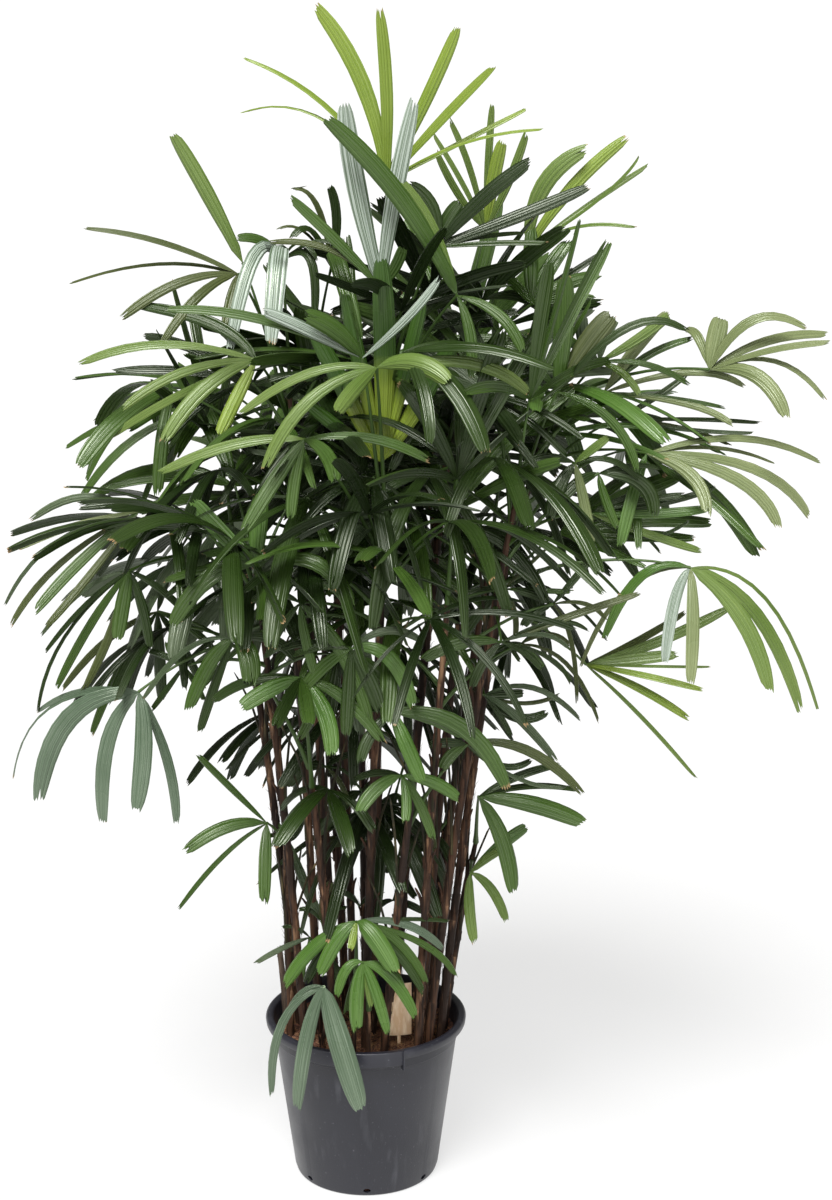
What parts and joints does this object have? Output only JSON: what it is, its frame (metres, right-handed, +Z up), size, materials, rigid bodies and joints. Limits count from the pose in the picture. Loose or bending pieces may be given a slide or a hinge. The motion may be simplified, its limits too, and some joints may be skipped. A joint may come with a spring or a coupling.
{
  "type": "lady palm",
  "caption": "Potted lady palm: a clump of slender reed-like canes with fan-shaped fronds up their tops and low suckers, standing in a black nursery pot.",
  "frame": {"origin": "middle of the pot's flat underside", "axes": "+Z up along the plant's height, -Y towards the front, where the plant label stands, and +X to the right as seen from the front"},
  "size_m": [1.3443, 1.2251, 2.023],
  "materials": {
    "pot": "satin charcoal plastic with faint scuffs",
    "soil": "rough reddish-brown potting mix",
    "label": "bare kraft card",
    "cane": "dark brown fibrous sheaths",
    "leaf": "glossy ribbed leaf"
  },
  "bodies": {
    "root": {"pot": "pot", "soil": "soil", "plant_label": "label", "dead_stub": "cane", "cane_01": "cane", "cane_02": "cane", "cane_03": "cane", "cane_04": "cane", "cane_05": "cane", "cane_06": "cane", "cane_07": "cane", "cane_08": "cane", "cane_09": "cane", "cane_10": "cane", "cane_11": "cane", "cane_12": "cane", "cane_13": "cane", "cane_14": "cane", "cane_15": "cane", "cane_16": "cane", "cane_17": "cane", "cane_18": "cane", "cane_19": "cane", "cane_20": "cane", "cane_21": "cane", "fronds_01_1": "leaf", "fronds_01_2": "leaf", "fronds_02_1": "leaf", "fronds_02_2": "leaf", "fronds_03_1": "leaf", "fronds_03_2": "leaf", "fronds_04_1": "leaf", "fronds_04_2": "leaf", "fronds_05_1": "leaf", "fronds_05_2": "leaf", "fronds_06_1": "leaf", "fronds_06_2": "leaf", "fronds_07_1": "leaf", "fronds_07_2": "leaf", "fronds_08_1": "leaf", "fronds_08_2": "leaf", "fronds_09_1": "leaf", "fronds_09_2": "leaf", "fronds_10_1": "leaf", "fronds_10_2": "leaf", "fronds_11_1": "leaf", "fronds_11_2": "leaf", "fronds_12_1": "leaf", "fronds_12_2": "leaf", "fronds_13_1": "leaf", "fronds_14_1": "leaf", "fronds_15_1": "leaf", "fronds_15_2": "leaf", "fronds_16_1": "leaf", "fronds_16_2": "leaf", "fronds_17_1": "leaf", "fronds_18_1": "leaf", "sucker_1": "leaf", "sucker_2": "leaf", "sucker_3": "leaf"}
  },
  "joints": []
}
